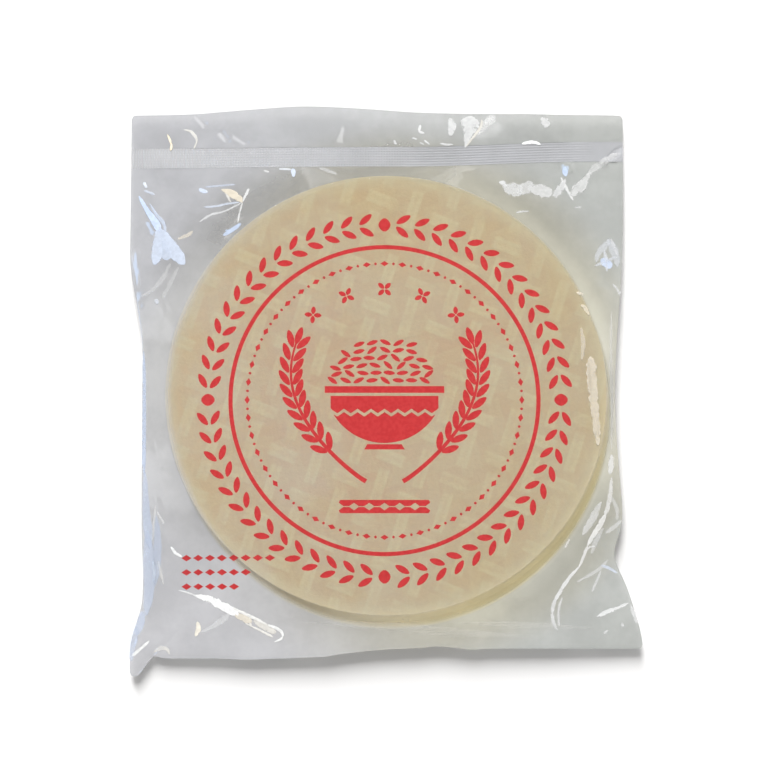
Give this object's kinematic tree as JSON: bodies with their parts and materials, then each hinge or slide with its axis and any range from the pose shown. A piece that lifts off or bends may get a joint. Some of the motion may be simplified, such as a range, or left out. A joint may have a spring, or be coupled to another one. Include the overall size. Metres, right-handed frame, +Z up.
{
  "type": "sealed bag of rice paper wrappers",
  "caption": "Clear heat-sealed bag lying flat round a stack of round rice paper wrappers, with a ribbed seal band and plain header flap above.",
  "frame": {"origin": "centre of the bag's bounding box in plan, at the level of the flat disc that it rests on", "axes": "+Z up out of the bag's front, +Y towards the heat seal and header flap, +X to the right of the front"},
  "size_m": [0.2092, 0.2358, 0.0184],
  "materials": {
    "clear_film": "clear glossy film with soft creases",
    "heat_seal": "milky film pressed with fine ribs",
    "rice_paper": "dry translucent cream sheets with a woven mat imprint",
    "red_print": "flat red ink printed on the film"
  },
  "bodies": {
    "root": {"sealed_bag": "clear_film"}
  },
  "joints": []
}
